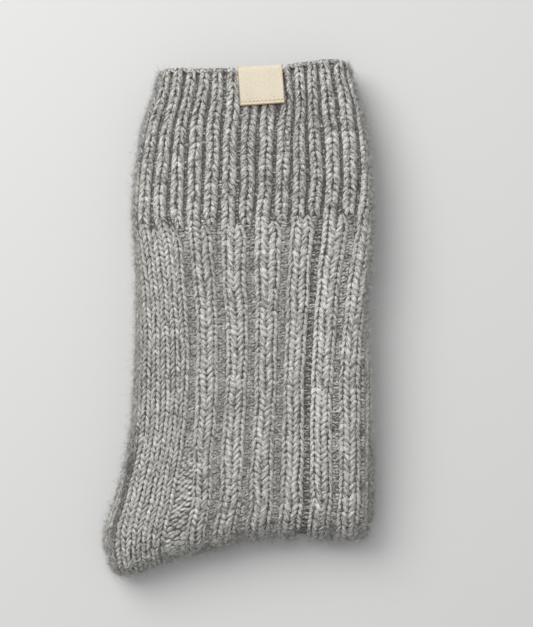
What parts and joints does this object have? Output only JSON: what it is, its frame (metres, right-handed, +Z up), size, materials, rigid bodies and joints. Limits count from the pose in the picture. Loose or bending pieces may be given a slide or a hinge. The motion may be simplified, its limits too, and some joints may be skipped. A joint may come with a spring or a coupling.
{
  "type": "folded pair of rib-knit cashmere socks",
  "caption": "Chunky rib-knit socks laid flat and folded together at the heel, cuffs open, with a plain tape label over the cuff's edge.",
  "frame": {"origin": "centre of the bounding box, on the surface that the socks lie on", "axes": "+Y along the legs towards the cuffs, +X to the right as seen from above with the cuffs up, +Z up from the surface"},
  "size_m": [0.1075, 0.2046, 0.0227],
  "materials": {
    "grey_cashmere_knit": "fuzzy melange yarn, matt",
    "cream_tape": "woven cotton tape, matt"
  },
  "bodies": {
    "root": {"upper_sock": "grey_cashmere_knit", "lower_sock": "grey_cashmere_knit", "label": "cream_tape"}
  },
  "joints": []
}
